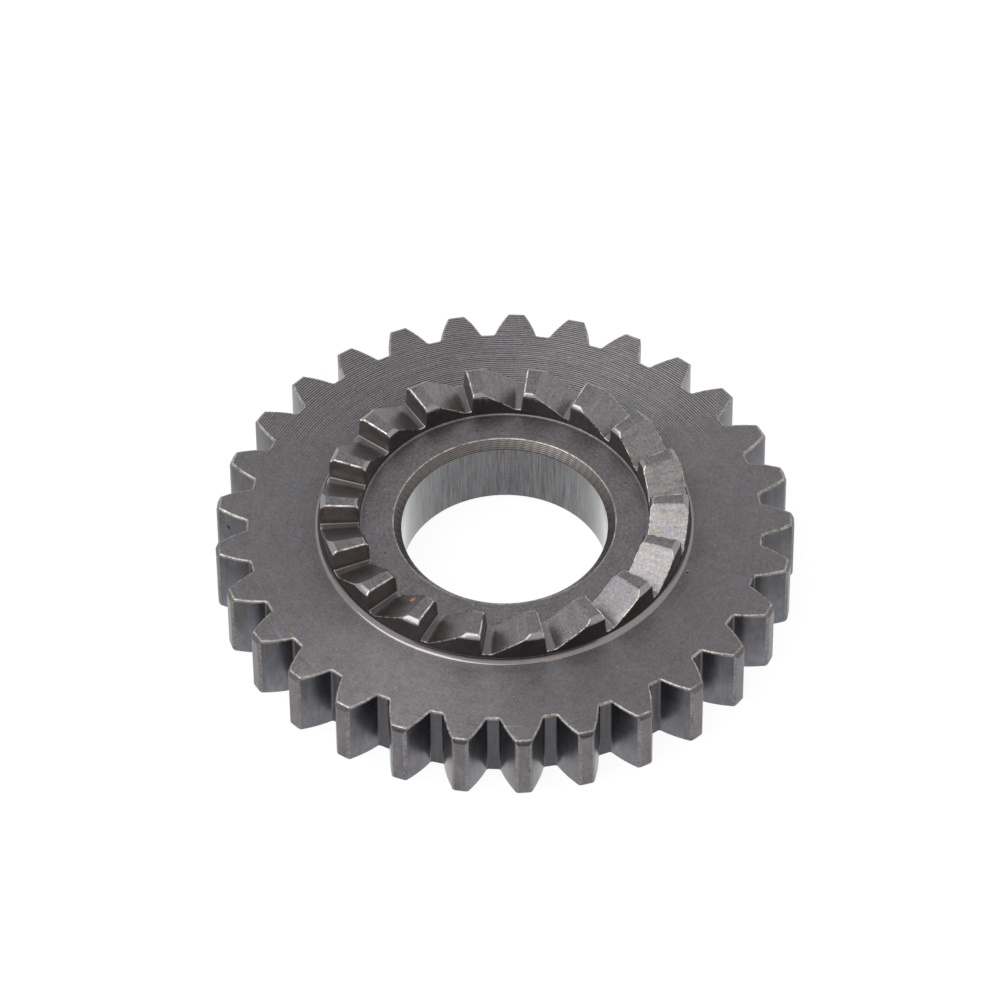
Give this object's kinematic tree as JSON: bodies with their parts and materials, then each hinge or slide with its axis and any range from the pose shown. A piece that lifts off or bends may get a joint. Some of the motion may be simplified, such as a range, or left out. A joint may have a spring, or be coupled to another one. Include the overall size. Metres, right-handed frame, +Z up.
{
  "type": "kickstart pinion gear",
  "caption": "Kickstart pinion gear: a steel spur gear with a ring of one-way ratchet teeth on one face, round a plain bore that turns on a shaft until the ratchet engages.",
  "frame": {"origin": "Middle of the flat underside, on the axis of the bore", "axes": "+Z runs up the bore axis and out of the face that carries the ratchet teeth; +X passes through the middle of a gear tooth"},
  "size_m": [0.0615, 0.0616, 0.0117],
  "materials": {
    "steel": "satin"
  },
  "bodies": {
    "root": {"pinion_gear": "steel"}
  },
  "joints": []
}
